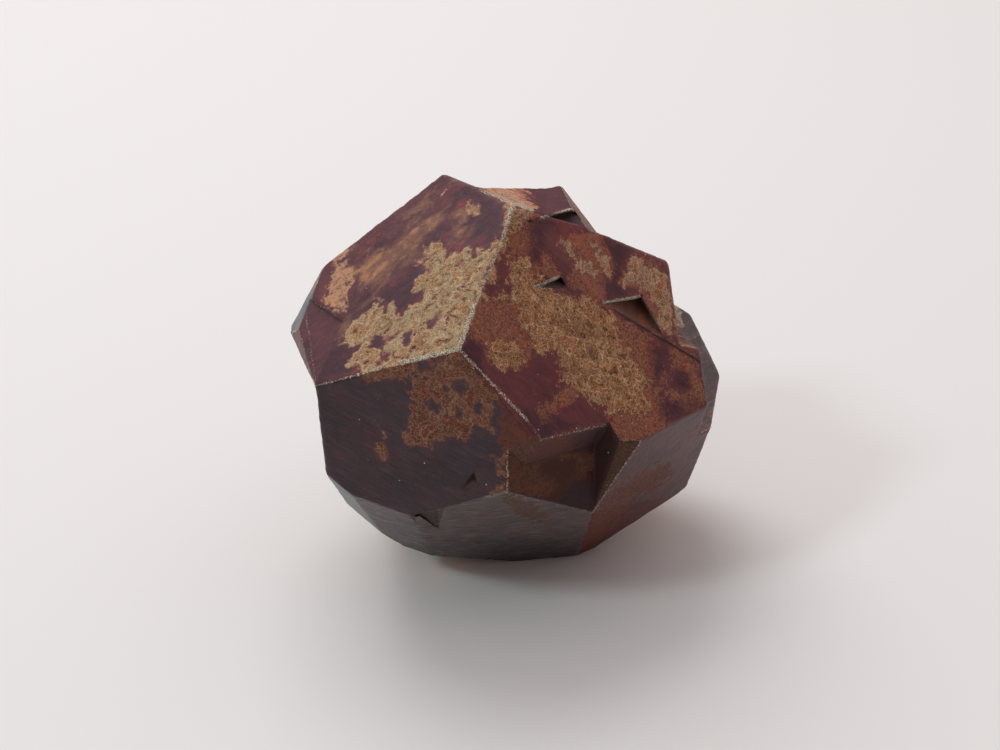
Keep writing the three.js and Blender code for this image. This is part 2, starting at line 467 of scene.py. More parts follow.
corner_numbers = triangles.reshape(-1)
corner_points = points[corner_numbers]
corner_faces = np.repeat(owners, 3)
corner_view = in_view(corner_points)
face_points = np.array([points[triangles[np.argmax(owners == k), 0]] for k in range(len(face_normals))])
face_reaches = ((face_points - CRYSTAL_CENTRE) * face_normals).sum(axis=1)
sides = points[triangles[:, 1:]] - points[triangles[:, :1]]
triangle_areas = np.linalg.norm(np.cross(sides[:, 0], sides[:, 1]), axis=1) / 2
face_areas = np.bincount(owners, triangle_areas)


def on(*names):
    """Which corners lie on the named crystal faces."""
    found = np.zeros(len(corner_faces), bool)
    for name in names:
        face = FACES[name]
        level = face_normals @ outward(face) > SAME_NORMAL
        found |= (level & (abs(face_reaches - face.reach) < SAME_REACH))[corner_faces]
    return found


def depth_in(outline, view):
    """Pixels inside an outline, negative outside it."""
    outline = np.array(outline, float)
    ends = np.roll(outline, -1, axis=0)
    within = np.zeros(len(view), bool)
    for (x0, y0), (x1, y1) in zip(outline, ends):
        if y0 == y1:
            continue
        crosses = (view[:, 1] < y0) != (view[:, 1] < y1)
        within ^= crosses & (view[:, 0] < x0 + (view[:, 1] - y0) * (x1 - x0) / (y1 - y0))
    distance = from_segments(view, outline, ends)
    return np.where(within, distance, -distance)


# Patches of a mark on some named faces, and the gaps in them. Their outlines are pixels of the
# camera's frame.
Marks = namedtuple("Marks", "faces patches gaps", defaults=((),))
FAR_OUTSIDE = -14.0    # how far outside a patch, in pixels, stops making a difference


def patches(marks):
    """How many pixels each corner lies inside the patches of a mark, negative outside them."""
    value = np.full(len(corner_points), FAR_OUTSIDE)
    for faces, patch_outlines, gap_outlines in marks:
        place = on(*faces)
        view = corner_view[place]
        held = value[place]
        for outline in patch_outlines:
            held = np.maximum(held, depth_in(outline, view))
        for outline in gap_outlines:
            held = np.minimum(held, -depth_in(outline, view))
        value[place] = held
    return value


CRUST = [
    # The lobed band along the left crown face's lower ridges, with its gaps.
    Marks(("crown_left",), [
        [(341, 340), (346, 330), (353, 321), (362, 316), (371, 313), (374, 306), (379, 302), (385, 309),
         (391, 305), (395, 313), (403, 316), (411, 306), (421, 299), (421, 292), (416, 290), (418, 283),
         (425, 276), (427, 268), (421, 263), (428, 258), (426, 250), (432, 244), (441, 247), (447, 258),
         (455, 256), (463, 250), (468, 247), (473, 254), (483, 252), (491, 250), (500, 240), (512, 205),
         (530, 230), (500, 330), (459, 370), (376, 380), (360, 374), (359, 366), (351, 363), (350, 358),
         (358, 352), (361, 346), (352, 344), (344, 343)],
    ], gaps=[
        [(364, 354), (370, 343), (375, 336), (396, 335), (388, 345), (382, 351), (376, 350)],
        [(401, 346), (404, 335), (411, 326), (415, 327), (411, 337), (412, 346), (407, 350)],
        [(376, 363), (380, 354), (385, 350), (390, 355), (388, 361)],
        [(397, 359), (403, 354), (408, 357), (402, 361)],
        [(431, 326), (434, 319), (440, 312), (442, 315), (436, 322)],
        [(456, 292), (461, 284), (468, 280), (466, 286), (460, 292)],
        [(485, 275), (490, 267), (496, 264), (497, 269), (491, 273)],
        [(455, 265), (460, 258), (463, 260), (458, 266)],
    ]),
    # The right crown face's broad band and the island beside it, then the slab's three patches, and the
    # bare spot by the ridge.
    Marks(("crown_right", "slab"), [
        [(512, 200), (533, 212), (520, 226), (508, 246), (507, 262), (517, 258), (528, 258), (531, 272),
         (538, 279), (536, 285), (550, 286), (560, 295), (576, 300), (586, 298), (604, 310), (612, 318),
         (618, 328), (622, 340), (616, 348), (626, 352), (634, 364), (641, 376), (652, 382), (641, 392),
         (645, 402), (650, 412), (622, 414), (612, 414), (604, 408), (598, 402), (588, 398), (580, 392),
         (572, 380), (560, 380), (566, 372), (562, 364), (556, 352), (551, 347), (543, 356), (536, 350),
         (530, 336), (522, 326), (520, 306), (500, 298), (482, 300), (474, 312), (462, 332), (450, 330),
         (490, 220)],
        [(488, 345), (500, 341), (514, 344), (522, 350), (525, 362), (516, 370), (500, 367), (489, 361)],
        [(633, 258), (643, 259), (647, 270), (655, 267), (664, 276), (668, 290), (672, 310), (677, 332),
         (668, 338), (662, 325), (656, 302), (650, 292), (641, 291), (634, 284), (624, 286), (622, 277),
         (630, 272)],
        [(590, 242), (598, 243), (606, 256), (608, 272), (600, 268), (597, 254)],
        [(560, 236), (567, 242), (576, 258), (584, 262), (596, 268), (608, 268), (610, 274), (592, 276),
         (580, 270), (570, 258), (562, 246)],
    ], gaps=[
        [(499, 250), (509, 258), (511, 272), (509, 281), (511, 290), (501, 298), (488, 298), (480, 290),
         (482, 278), (492, 280), (496, 272), (494, 258)],
    ]),
    # The patch under the front face's top corner, with its gaps, and four crumbs below it.
    Marks(("front",), [
        [(360, 371), (420, 354), (459, 345), (500, 398), (498, 402), (494, 402), (490, 420), (492, 430),
         (486, 432), (480, 425), (470, 432), (464, 440), (455, 438), (440, 441), (422, 446), (412, 445),
         (405, 438), (406, 428), (412, 420), (414, 405), (408, 384), (396, 377), (380, 378), (362, 380)],
        [(496, 458), (504, 456), (506, 476), (499, 474)],
        [(375, 423), (379, 422), (384, 430), (387, 438), (383, 438), (378, 432)],
        [(379, 446), (385, 449), (383, 455), (379, 453)],
        [(489, 495), (498, 487), (507, 484), (508, 492), (500, 496)],
    ], gaps=[
        [(419, 363), (430, 357), (450, 353), (452, 357), (440, 361), (431, 368), (421, 374)],
        [(427, 405), (432, 397), (441, 401), (443, 412), (438, 418), (431, 416)],
        [(427, 390), (437, 389), (446, 396), (452, 392), (462, 398), (470, 388), (465, 378), (456, 380),
         (450, 387), (440, 385), (428, 384)],
        [(404, 378), (412, 382), (416, 396), (411, 400), (405, 390)],
        [(455, 404), (462, 412), (460, 424), (454, 418)],
        [(472, 400), (480, 404), (482, 414), (474, 416)],
    ]),
    # The strip behind the topmost ridge.
    Marks(("top", "brow"), [
        [(470, 184), (500, 186), (512, 190), (534, 206), (530, 214), (505, 200), (480, 192)],
    ]),
]

RUST = [
    # One stain near the left crown face's top, and one at its left.
    Marks(("crown_left",), [
        [(469, 203), (477, 204), (483, 211), (480, 217), (473, 215), (469, 210)],
        [(338, 250), (347, 250), (350, 275), (348, 296), (346, 312), (334, 311), (326, 303), (332, 286),
         (334, 268)],
    ]),
    # The stain round the right crown face's crust, and the small ones at its right.
    Marks(("crown_right", "slab"), [
        [(490, 200), (540, 212), (532, 226), (536, 240), (532, 258), (540, 278), (560, 292), (580, 296),
         (570, 276), (575, 262), (564, 248), (570, 232), (600, 234), (607, 250), (613, 262), (610, 280),
         (602, 294), (608, 310), (625, 322), (650, 335), (655, 350), (655, 378), (662, 400), (668, 430),
         (640, 445), (612, 440), (612, 420), (600, 402), (578, 396), (556, 404), (552, 416), (543, 420),
         (536, 414), (545, 404), (560, 396), (572, 384), (560, 376), (556, 352), (536, 350), (526, 366),
         (515, 372), (489, 363), (482, 344), (468, 336), (458, 345), (450, 330)],
        [(544, 252), (553, 258), (560, 272), (555, 280), (544, 272)],
        [(626, 268), (634, 256), (650, 262), (664, 270), (672, 290), (680, 340), (660, 335), (640, 296),
         (622, 286)],
        [(670, 344), (690, 350), (702, 376), (706, 402), (696, 409), (690, 392), (686, 372), (672, 362)],
        [(662, 370), (673, 368), (674, 381), (664, 382)],
        [(666, 388), (677, 385), (683, 398), (672, 403)],
        [(686, 396), (698, 398), (700, 412), (688, 416)],
        [(560, 396), (568, 398), (566, 406), (558, 405)],
    ], gaps=[
        [(500, 250), (508, 258), (510, 272), (508, 280), (510, 291), (500, 297), (488, 297), (482, 288),
         (484, 280), (493, 283), (498, 274), (497, 262)],
    ]),
    # The stain beside the hollow.
    Marks(("front",), [
        [(500, 400), (527, 420), (545, 442), (520, 470), (508, 452), (499, 446)],
    ]),
    # The stain across the low right corner.
    Marks(("flank_right", "bevel_right"), [
        [(597, 510), (612, 490), (635, 476), (668, 464), (672, 474), (655, 488), (632, 500), (618, 520),
         (596, 552), (580, 556)],
    ]),
    # The hollow's upper left.
    Marks(("hollow_floor", "hollow_riser_left"), [
        [(500, 436), (530, 436), (545, 446), (560, 452), (582, 452), (608, 450), (606, 468), (588, 474),
         (574, 480), (564, 490), (560, 502), (500, 498)],
    ]),
    # The narrow face at the hollow's right.
    Marks(("bevel_nose",), [
        [(604, 426), (646, 434), (642, 448), (618, 484), (596, 504), (590, 470)],
    ]),
    # The stain under the hollow's left corner.
    Marks(("bevel_front",), [
        [(503, 494), (520, 496), (536, 506), (550, 520), (530, 524), (512, 512)],
    ]),
    # The strip behind the topmost ridge.
    Marks(("top", "brow"), [
        [(490, 184), (512, 186), (526, 192), (530, 202), (525, 210), (508, 196), (492, 192)],
    ]),
]

# Soft warm clouds in the bare skin.
CLOUDS = [
    # The left crown face, up and to the left of its crust.
    Marks(("crown_left", "step"), [
        [(335, 345), (330, 290), (350, 245), (395, 210), (430, 195), (462, 200), (480, 215), (470, 236),
         (440, 240), (415, 262), (395, 290), (365, 312)],
    ]),
    # The middle of the front face.
    Marks(("front",), [
        [(345, 420), (380, 405), (400, 420), (400, 450), (380, 475), (400, 500), (380, 505), (350, 480)],
    ]),
]

# Darker, bluer bare skin, and painted shade in the hollow and at the foot.
SHADES = [
    # The left crown face's top corner, middle and low left corner.
    Marks(("crown_left",), [
        [(440, 196), (470, 190), (505, 205), (500, 235), (470, 240), (484, 214), (462, 196)],
        [(366, 308), (392, 282), (418, 262), (425, 285), (405, 312), (385, 306)],
        [(305, 330), (345, 345), (355, 370), (312, 388)],
    ]),
    # Between the right crown face's stains, and along its lower ridge.
    Marks(("crown_right", "slab"), [
        [(459, 349), (472, 340), (484, 352), (482, 374), (470, 372)],
        [(503, 212), (545, 226), (540, 262), (525, 262), (530, 235), (508, 228)],
        [(604, 236), (628, 252), (622, 276), (628, 292), (606, 298), (600, 282), (612, 262)],
        [(648, 346), (666, 348), (664, 370), (656, 386), (650, 372)],
        [(674, 366), (690, 372), (690, 388), (676, 388)],
        [(656, 402), (690, 400), (706, 404), (690, 416), (660, 420)],
        [(520, 405), (545, 414), (575, 424), (545, 441), (528, 424)],
    ]),
    # Painted shade in the hollow's right half and its middle.
    Marks(("hollow_floor", "hollow_riser"), [
        [(545, 500), (566, 484), (600, 474), (632, 444), (604, 420), (572, 440), (580, 452), (610, 452),
         (596, 516)],
        [(540, 462), (556, 456), (574, 460), (576, 474), (560, 484), (544, 478)],
    ]),
    # Painted shade at the foot of the faces that turn under the crystal, next to the floor.
    Marks(("bevel_front", "bevel_front_left"), [
        [(395, 548), (440, 540), (500, 535), (560, 540), (590, 534), (590, 580), (420, 580)],
    ]),
]
# Ridges drawn with a pale line, which is wear and, where a ridge catches the light, a painted highlight:
# start, end, half width in pixels, and how complete the line is.
WORN_AND_LIT_RIDGES = [
    ((459, 349), (475, 305), 2.6, 1.0),
    ((475, 305), (501, 244), 2.2, 0.7),
    ((501, 244), (513, 203), 2.4, 0.85),
    ((459, 349), (400, 363), 2.2, 1.0),
    ((400, 363), (315, 386), 1.4, 0.7),
    ((459, 349), (527, 420), 2.0, 0.75),
    ((527, 420), (541, 440), 2.0, 0.5),
    ((541, 440), (606, 425), 1.3, 0.6),
    ((507.5, 450), (507.5, 492), 1.6, 0.7),
    ((593, 512), (641, 441), 1.2, 0.65),
    ((508, 493), (593, 513), 1.0, 0.5),
    ((593, 512), (577, 556), 1.4, 0.5),
    ((484, 498), (507.5, 492), 1.4, 0.6),
    ((440, 197), (447, 189), 1.2, 0.7),
    ((603, 303), (640, 297), 1.4, 1.0),
    ((640, 297), (664, 335), 1.0, 0.5),
    ((536, 287), (560, 276.5), 1.8, 1.0),
    ((540, 218), (575, 208), 1.7, 0.8),
    ((480, 190), (533, 210), 2.0, 0.7),
    ((305, 300), (335, 312), 1.8, 0.5),
    ((305, 310), (316, 386), 1.6, 0.5),
]
WEAR_AND_HIGHLIGHT_FADE = 1.6    # where the line has faded to nothing, in half widths from its middle


def wear_and_highlight_line(view):
    """How strongly each place in the camera's frame lies on a pale ridge line of wear and painted highlight,
    0 to 1.
    """
    value = np.zeros(len(view))
    for start, end, half_width, strength in WORN_AND_LIT_RIDGES:
        near = from_segments(view, np.array([start], float), np.array([end], float))
        value = np.maximum(value, strength * np.clip(WEAR_AND_HIGHLIGHT_FADE - near / half_width, 0, 1))
    return value


# ---------- what the material reads at each corner ----------
# The far faces have no outlines. Each differs at random from these colours and within these ranges.
FAR_COLOURS = {"skin": (100, 62, 66), "rust": (142, 88, 66), "crust": (162, 132, 104)}
FAR_TONE, FAR_RED, FAR_BLUE = 0.16, 0.08, 0.1    # how far brightness, red and blue stray
FAR_RANGES = {"grit": (0.1, 0.6), "warmth": (0.2, 0.8), "streaks": (0, 180), "scratched": (0.1, 0.7)}
FAR_MATT = 0.1
FAR_WEAR_WIDTH, FAR_WEAR_FADE = 0.06, 1.25    # half width in mm, and the fade in half widths
FAR_WEAR, FAR_WEAR_SWING, FAR_WEAR_MOST = 0.55, 1.5, 0.95    # how strongly far ridges are worn
WIDE_DRIFT, CLOSE_DRIFT = 1.9, 1.6    # lump sizes of the two drifts that place the far marks
DRIFT_SHIFT = 31.0    # sets the close drift apart from the wide one
SEEN_PLAIN = ("right_twin", "corner_left")    # faces in view without outlines, marked like the far ones
PIT_AREA = 1.2        # smaller faces than this, in square mm, are the walls of pits
PIT_SKIN = (74, 56, 54)
STREAK_SHRINK = 0.5   # how much shorter the streak coordinates are along the streaks
FACE_SHIFT = 3.0      # how far the streak coordinates of one face lie from the next one's
NEARLY_LEVEL = 0.01   # a flatter face has no level direction of its own

mood_source = np.random.default_rng(23)


def moods(low=-1.0, high=1.0):
    """One random number for each crystal face, given at its corners."""
    return mood_source.uniform(low, high, len(face_normals))[corner_faces]


def paint(red, green, blue):
    """A display colour, 0 to 255 a channel, as the linear colour that Blender wants."""
    values = [v / 255 for v in (red, green, blue)]
    return tuple(v / 12.92 if v <= 0.04045 else ((v + 0.055) / 1.055) ** 2.4 for v in values) + (1.0,)


def face_looks(in_pit):
    """The colours and numbers that a crystal face has all over, given at its corners."""
    corners = len(corner_faces)
    tone = 1 + FAR_TONE * moods()[:, None]
    tint = np.stack([1 + FAR_RED * moods(), np.ones(corners), 1 + FAR_BLUE * moods()], axis=1)
    looks = {field: np.tile(paint(*colour), (corners, 1)) for field, colour in FAR_COLOURS.items()}
    for colour in looks.values():
        colour[:, :3] *= tone * tint
    looks["skin"][in_pit] = paint(*PIT_SKIN)
    for field, (low, high) in FAR_RANGES.items():
        looks[field] = moods(low, high)
    looks["matt"] = np.full(corners, FAR_MATT)
    for name, face in FACES.items():
        here = on(name)
        for field, values in looks.items():
            value = getattr(face, field)
            values[here] = paint(*value) if values.ndim > 1 else value
    return looks


def mark_values(in_pit):
    """How many pixels each corner lies inside each mark, and how strongly a pale ridge line lies on it, from
    0 to 1: wear on the far faces, wear and painted highlight on those in view.
    """
    far = ~in_pit & ~on(*(name for name in FACES if name not in SEEN_PLAIN))
    wide = waves(points, WIDE_DRIFT)[corner_numbers]
    close = waves(points + DRIFT_SHIFT, CLOSE_DRIFT)[corner_numbers]
    values = {}
    for name, marks, drift, swing, middle, mood in (
        ("crust", CRUST, wide, 17, -6, 7),
        ("rust", RUST, close, 17, -2, 8),
        ("cloud", CLOUDS, wide, 8, 0, 8),
        ("shade", SHADES, close, -8, 0, 6),
    ):
        values[name] = np.where(far, swing * drift + middle + mood * moods(), patches(marks))
    far_wear = np.clip(FAR_WEAR_FADE - from_ridge[corner_numbers] / FAR_WEAR_WIDTH, 0, 1)
    far_wear *= np.clip(FAR_WEAR + FAR_WEAR_SWING * close, 0, FAR_WEAR_MOST)
    values["wear_and_highlight"] = np.where(far, far_wear, wear_and_highlight_line(corner_view))
    return values


def streak_places(streaks):
    """Coordinates along and across the growth streaks of each corner's face."""
    normal = face_normals[corner_faces]
    level = np.cross([0.0, 0.0, 1.0], normal)
    level = np.where(np.linalg.norm(level, axis=1, keepdims=True) < NEARLY_LEVEL, RIGHT, level)
    level /= np.linalg.norm(level, axis=1, keepdims=True)
    turn = np.radians(streaks)[:, None]
    along = np.cos(turn) * level + np.sin(turn) * np.cross(normal, level)
    across = np.cross(normal, along)
    return np.stack([
        STREAK_SHRINK * (corner_points * along).sum(axis=1),
        (corner_points * across).sum(axis=1),
        FACE_SHIFT * corner_faces,
    ], axis=1)


def corner_values():
    """Everything that the material reads at each triangle corner."""
    in_pit = (face_areas < PIT_AREA)[corner_faces]
    looks = face_looks(in_pit)
    values = mark_values(in_pit)
    for field in ("grit", "warmth", "matt", "scratched"):
        values[field] = looks[field]
    values["lay"] = streak_places(looks["streaks"])
    values["skin"] = looks["skin"]
    values["rust_colour"] = looks["rust"]
    values["crust_colour"] = looks["crust"]
    return values


def add_attribute(mesh, name, domain, values):
    kinds = {1: ("FLOAT", "value"), 3: ("FLOAT_VECTOR", "vector"), 4: ("FLOAT_COLOR", "color")}
    kind, field = kinds[1 if values.ndim == 1 else values.shape[1]]
    attribute = mesh.attributes.new(name, kind, domain)
    attribute.data.foreach_set(field, values.ravel())


def crystal_mesh():
    mesh = bpy.data.meshes.new("crystal")
    mesh.from_pydata(surface * MM, [], triangles.tolist())
    for name, values in corner_values().items():
        add_attribute(mesh, name, "CORNER", values)
    add_attribute(mesh, "groove", "POINT", from_groove)
    mesh.shade_smooth()
    mesh.validate()
    mesh.update()
    return mesh


# ---------- material ----------
class Nodes:
    """Short calls for building a shader."""

    def __init__(self, owner):
        self.tree = owner.node_tree

    def add(self, kind, inputs=None, **settings):
        node = self.tree.nodes.new(kind)
        for name, value in settings.items():
            setattr(node, name, value)
        for name, value in (inputs or {}).items():
            self.set(node.inputs[name], value)
        return node

    def set(self, socket, value):
        if isinstance(value, bpy.types.NodeSocket):
            self.tree.links.new(value, socket)
        else:
            socket.default_value = value

    def math(self, operation, result, *values):
        for value in values:
            result = self.add("ShaderNodeMath", {0: result, 1: value}, operation=operation).outputs[0]
        return result

    def plus(self, *values):
        return self.math("ADD", *values)

    def times(self, *values):
        return self.math("MULTIPLY", *values)

    def blend(self, amount, one, two):
        """One number where the amount is 0, the other where it is 1."""
        return self.plus(one, self.times(amount, two - one))

    def step(self, value, low, high):
        """0 below low, 1 above high, and a smooth rise between."""
        inputs = {"Value": value, "From Min": low, "From Max": high}
        return self.add("ShaderNodeMapRange", inputs, interpolation_type="SMOOTHSTEP").outputs["Result"]

    def attribute(self, name, kind="Fac"):
        return self.add("ShaderNodeAttribute", attribute_name=name).outputs[kind]

    def noise(self, place, lumps):
        inputs = {"Vector": place, "Scale": 1 / lumps.size, "Detail": lumps.detail,
                  "Roughness": lumps.roughness, "Distortion": lumps.distortion}
        return self.add("ShaderNodeTexNoise", inputs).outputs["Fac"]

    def multiplied(self, vector, factors):
        """A vector or a colour with each of its three parts multiplied."""
        return self.add("ShaderNodeVectorMath", {0: vector, 1: factors}, operation="MULTIPLY").outputs[0]

    def mix(self, amount, one, two):
        node = self.add("ShaderNodeMix", data_type="RGBA")
        for socket, value in ((0, amount), (6, one), (7, two)):
            self.set(node.inputs[socket], value)
        return node.outputs[2]

    def stirred(self, given, start, reaches):
        """A field pushed about by noises, as WANDERING says."""
        value = given[start]
        for noise_name, reach in reaches.items():
            if isinstance(reach, tuple):
                reach = self.blend(given["grit"], *reach)
            value = self.plus(value, self.times(self.plus(given[noise_name], -0.5), reach))
        return value

    def amount(self, given, film):
        """How thickly a film lies."""
        value = given[film.field]
        if film.level is not None:
            value = self.math("ABSOLUTE", self.plus(value, -film.level), 0.0)
        amount = self.times(self.step(value, film.start, film.full), film.strength)
        return self.times(amount, given[film.share]) if film.share else amount

    def filmed(self, given, colour, films):
        """A colour with films laid over it one after another."""
        for film in films:
            tint, base = film.tint, given[film.base]
            over = self.multiplied(base, tint) if tint else base
            colour = self.mix(self.amount(given, film), colour, over)
        return colour


# The layers look everything up by name, in one dictionary of fields called given. It holds what the
# mesh says at each corner, noises, and fields and colours made from those.
NUMBERS = ("crust", "rust", "cloud", "shade", "wear_and_highlight", "grit", "warmth", "matt", "scratched", "groove")
COLOURS = ("skin", "rust_colour", "crust_colour")

# A noise runs from 0 to 1, in lumps of a size in mm.
Lumps = namedtuple("Lumps", "size detail roughness distortion", defaults=(0.0,))
IN_SPACE = {
    "broad": Lumps(1.6, 3, 0.55),
    "middle": Lumps(0.5, 4, 0.6),
    "small": Lumps(0.17, 4, 0.65),
    "fine": Lumps(0.065, 3, 0.65),
    "dust": Lumps(0.032, 2, 0.6),
    "cell": Lumps(0.48, 1.5, 0.5, 0.4),
    "ring": Lumps(0.19, 1, 0.5, 0.5),
    "flake": Lumps(0.34, 5, 0.64, 0.7),
    "grain": Lumps(0.13, 4, 0.7, 0.5),
}
ALONG_STREAKS = {
    "streak": Lumps(0.62, 5, 0.62, 0.7),
    "blotch": Lumps(0.41, 5, 0.62, 0.5),
    "tint": Lumps(0.8, 4, 0.6, 0.6),
}
SCRATCHES, SCRATCH_STRETCH = Lumps(0.07, 3, 0.6), (0.2, 1, 1)
BRIGHT_SPACING, BRIGHT_CLUMPS = 0.32, (0.56, 0.64)    # grains of bright metal: mm apart, and where

# Numbers on a smooth crust and on a gritty one: how peppery rust is and how dusty crust is.
BY_GRIT = {"pepper": (0.35, 0.7), "dusting": (0.5, 0.75)}
LEAST_REDNESS, CLOUD_PULL = 0.25, 0.006
GRAINS = 0.7                     # how far grains take over from flakes in a gritty crust
CALM, CALM_MOST = (14, 34), 0.07       # pixels inside a smooth crust, and how much thicker it is there
HOLES, HOLE_DEPTH = (0.385, 0.355), -60    # the thickness where a hole starts, and its depth in pixels

# A wandering field starts from another one. Each noise pushes it by up to about half its reach
# either way. A pair of reaches is for a smooth crust and for a gritty one.
WANDERING = {
    "reddened": ("blotch", {"small": 0.3}),
    "clouded": ("warmed", {"middle": 0.35, "small": 0.3}),
    "darkened": ("tint", {"small": 0.35}),
    "mottled": ("small", {"fine": 0.45}),
    "yellowed": ("broad", {"middle": 0.4}),
    "island": ("cell", {"small": 0.16}),
    "clumped": ("small", {"middle": 0.8}),
    "shade_edge": ("shade", {"streak": 26, "small": 12}),
    "rust_edge": ("rust", {"middle": 26, "small": 24, "fine": (0, 14)}),
    "wear_and_highlight_edge": ("wear_and_highlight", {"fine": 1.3, "dust": 0.7}),
    "crust_edge": ("crust", {
        "middle": (9.6, 24.32), "cell": (24, 6), "ring": (14, 3.5), "small": (5, 26), "fine": (4.08, 12.24)
    }),
}

# A film lies where a field has passed from start to full, or from that far off a level, if it has one.
# Strength is how thick that is, and a share is another field that thins it. Its colour is a tint of
# its base.
Film = namedtuple("Film", "field start full base tint strength share level", defaults=(None, 1.0, None, None))
HALF = (0.5, 0.5, 0.5)
ORANGE, RED_BROWN, BROWN = (1.12, 0.68, 0.46), (0.75, 0.42, 0.3), (0.6, 0.42, 0.33)


def line(field, level, width, base, strength):
    """A film along the places where a field is at a level."""
    return Film(field, width, width / 3, base, strength=strength, level=level)


SKIN_FILMS = [
    Film("broad", 0.62, 0.38, "skin", HALF, 0.35),
    Film("reddened", 0.5, 0.66, "skin", (1.55, 0.95, 0.85), share="redness"),
    Film("clouded", 0.5, 0.66, "brown", share="warmth"),
    Film("clouded", 0.64, 0.8, "rust_colour", (0.85, 0.72, 0.6), share="warmth"),
    Film("darkened", 0.52, 0.64, "plum", None, 0.8, "warmth"),
    # Plum where SHADES lies, which in the hollow and at the foot is painted shade.
    Film("shade_edge", -6, 5, "plum", None, 0.75),
    Film("small", 0.55, 0.75, "skin", (1.9, 1.9, 1.9), 0.3),
    Film("fine", 0.44, 0.3, "skin", HALF, 0.5),
    Film("scratch", 0.55, 0.68, "skin", (2.2, 2.1, 2.0), 0.7, "scratched"),
    Film("scratch", 0.46, 0.32, "skin", (0.3, 0.28, 0.28), 0.85, "scratched"),
    # Painted glints: tiny specks up to three times as bright as the skin.
    Film("dust", 0.66, 0.74, "skin", (3.0, 2.8, 2.8), 0.5),
]
RUST_FILMS = [
    Film("mottled", 0.38, 0.56, "rust_colour"),
    Film("blotch", 0.52, 0.62, "rust_colour", (1.35, 0.95, 0.75), 0.5),
    Film("fine", 0.53, 0.61, "crust_colour", share="pepper"),
    Film("fine", 0.42, 0.32, "skin", (0.5, 0.4, 0.4), share="pepper"),
    # Darker where SHADES lies, which in the hollow and at the foot is painted shade.
    Film("shade_edge", -6, 5, "skin", (0.6, 0.5, 0.5), 0.6),
]
CRUST_FILMS = [
    Film("thickness", 0.45, 0.48, "crust_colour"),
    Film("yellowed", 0.5, 0.6, "crust_colour", (1.0, 0.78, 0.64), 0.5),
    Film("island", 0.55, 0.565, "crust_colour", ORANGE, 0.8),
    Film("island", 0.64, 0.66, "crust_colour", RED_BROWN, 0.6),
    Film("island", 0.4, 0.37, "crust_colour", BROWN, 0.7),
    Film("middle", 0.53, 0.46, "crust_colour", BROWN, 0.45, "grit"),
    Film("middle", 0.56, 0.63, "crust_colour", (1.4, 1.4, 1.3), 0.7, "grit"),
    Film("small", 0.47, 0.41, "crust_colour", BROWN, 0.75, "grit"),
    line("island", 0.54, 0.022, "pale", 0.85),
    line("ring", 0.53, 0.03, "pale", 0.6),
    Film("ring", 0.36, 0.32, "dark", None, 0.85),
    line("thickness", 0.49, 0.016, "pale", 0.6),
    line("thickness", 0.452, 0.014, "dark", 0.6),
    Film("crust_edge", 2.6, 0.8, "pale", None, 0.7, "crusted"),
]
DUST_FILMS = [
    Film("dust", 0.53, 0.62, "pale_dust", share="dusting"),
    Film("dust", 0.46, 0.36, "dark_dust", share="dusting"),
]
RUST_LAYER = Film("rust_edge", -2.5, 3, "rusty")
CRUST_LAYER = Film("crust_edge", -0.4, 0.5, "crusty")
WORN_AND_LIT_LAYER = Film("wear_and_highlight_edge", 0.5, 0.85, "worn_and_lit")
LAYERS = [
    RUST_LAYER,
    Film("crust_edge", -4, -0.3, "fringe", None, 0.6),
    CRUST_LAYER,
    # Pale ridge lines: wear, and on the ridges in view also a painted highlight.
    WORN_AND_LIT_LAYER,
    Film("from_bright", 0.085, 0.045, "bright_metal", share="clumps"),
    # Painted shade: the colour darkens within 0.07 mm of a groove.
    Film("groove", 0.07, 0, "crease_shade", None, 0.6),
]


PAINTS = {
    "umber": paint(150, 84, 54),
    "violet": paint(50, 44, 60),
    "green": paint(176, 184, 150),
    # The two colours of the pale ridge lines, which are wear and painted highlight.
    "worn_and_lit_dark": paint(112, 88, 68),
    "worn_and_lit_pale": paint(218, 208, 188),
    "bright_metal": paint(226, 220, 210),
    # Colour of the painted shade in the grooves.
    "crease_shade": paint(44, 30, 28),
}
# Mixed colours: a colour, its tint, and how much of which other colour is mixed in.
MIXTURES = {
    "plum": ("skin", (0.45, 0.5, 0.55), 0.3, "violet"),
    "brown": ("rust_colour", (0.5, 0.5, 0.46), 0.4, "skin"),
    "rusted_skin": ("skin", HALF, 0.5, "rust_colour"),
    "fringe": ("rust_colour", (1, 1, 1), 0.35, "umber"),
    "thin": ("crust_colour", (0.8, 0.62, 0.5), 0.5, "fringe"),
    "pale": ("crust_colour", (1.75, 1.75, 1.75), 0.2, "green"),
}
DARK_TINT = (0.24, 0.2, 0.18)
DUST_TINTS = {"pale": (1.9, 1.9, 1.85), "dark": (0.3, 0.26, 0.24)}    # of the crust that dust lies on
# The grain of the pale ridge lines, which are wear and painted highlight.
WORN_AND_LIT_GRAIN = (0.45, 0.55)    # where the grain of a worn ridge goes from dark to pale

SPECULAR, METAL, RUST_DULLNESS = 0.28, 0.3, 0.7
ROUGHNESS, ROUGH_SWING, DULL_ROUGHNESS = 0.34, 0.24, 0.4
CRUST_SLOPE, CRUST_RISE = (-0.5, 3.0), 0.9    # pixels inside the crust's edge, and its height there
FLAKE_SLOPE, FLAKE_LEAST = (0.36, 0.6), 0.3   # the thickness over which crust gets its full height
BUMPS, DUST_BUMPS = {"small": 0.35, "fine": 0.3, "scratch": 0.2}, 0.55
BUMP_HEIGHT, BUMP_STRENGTH = 0.03, 0.9        # the height in mm of a bump of 1


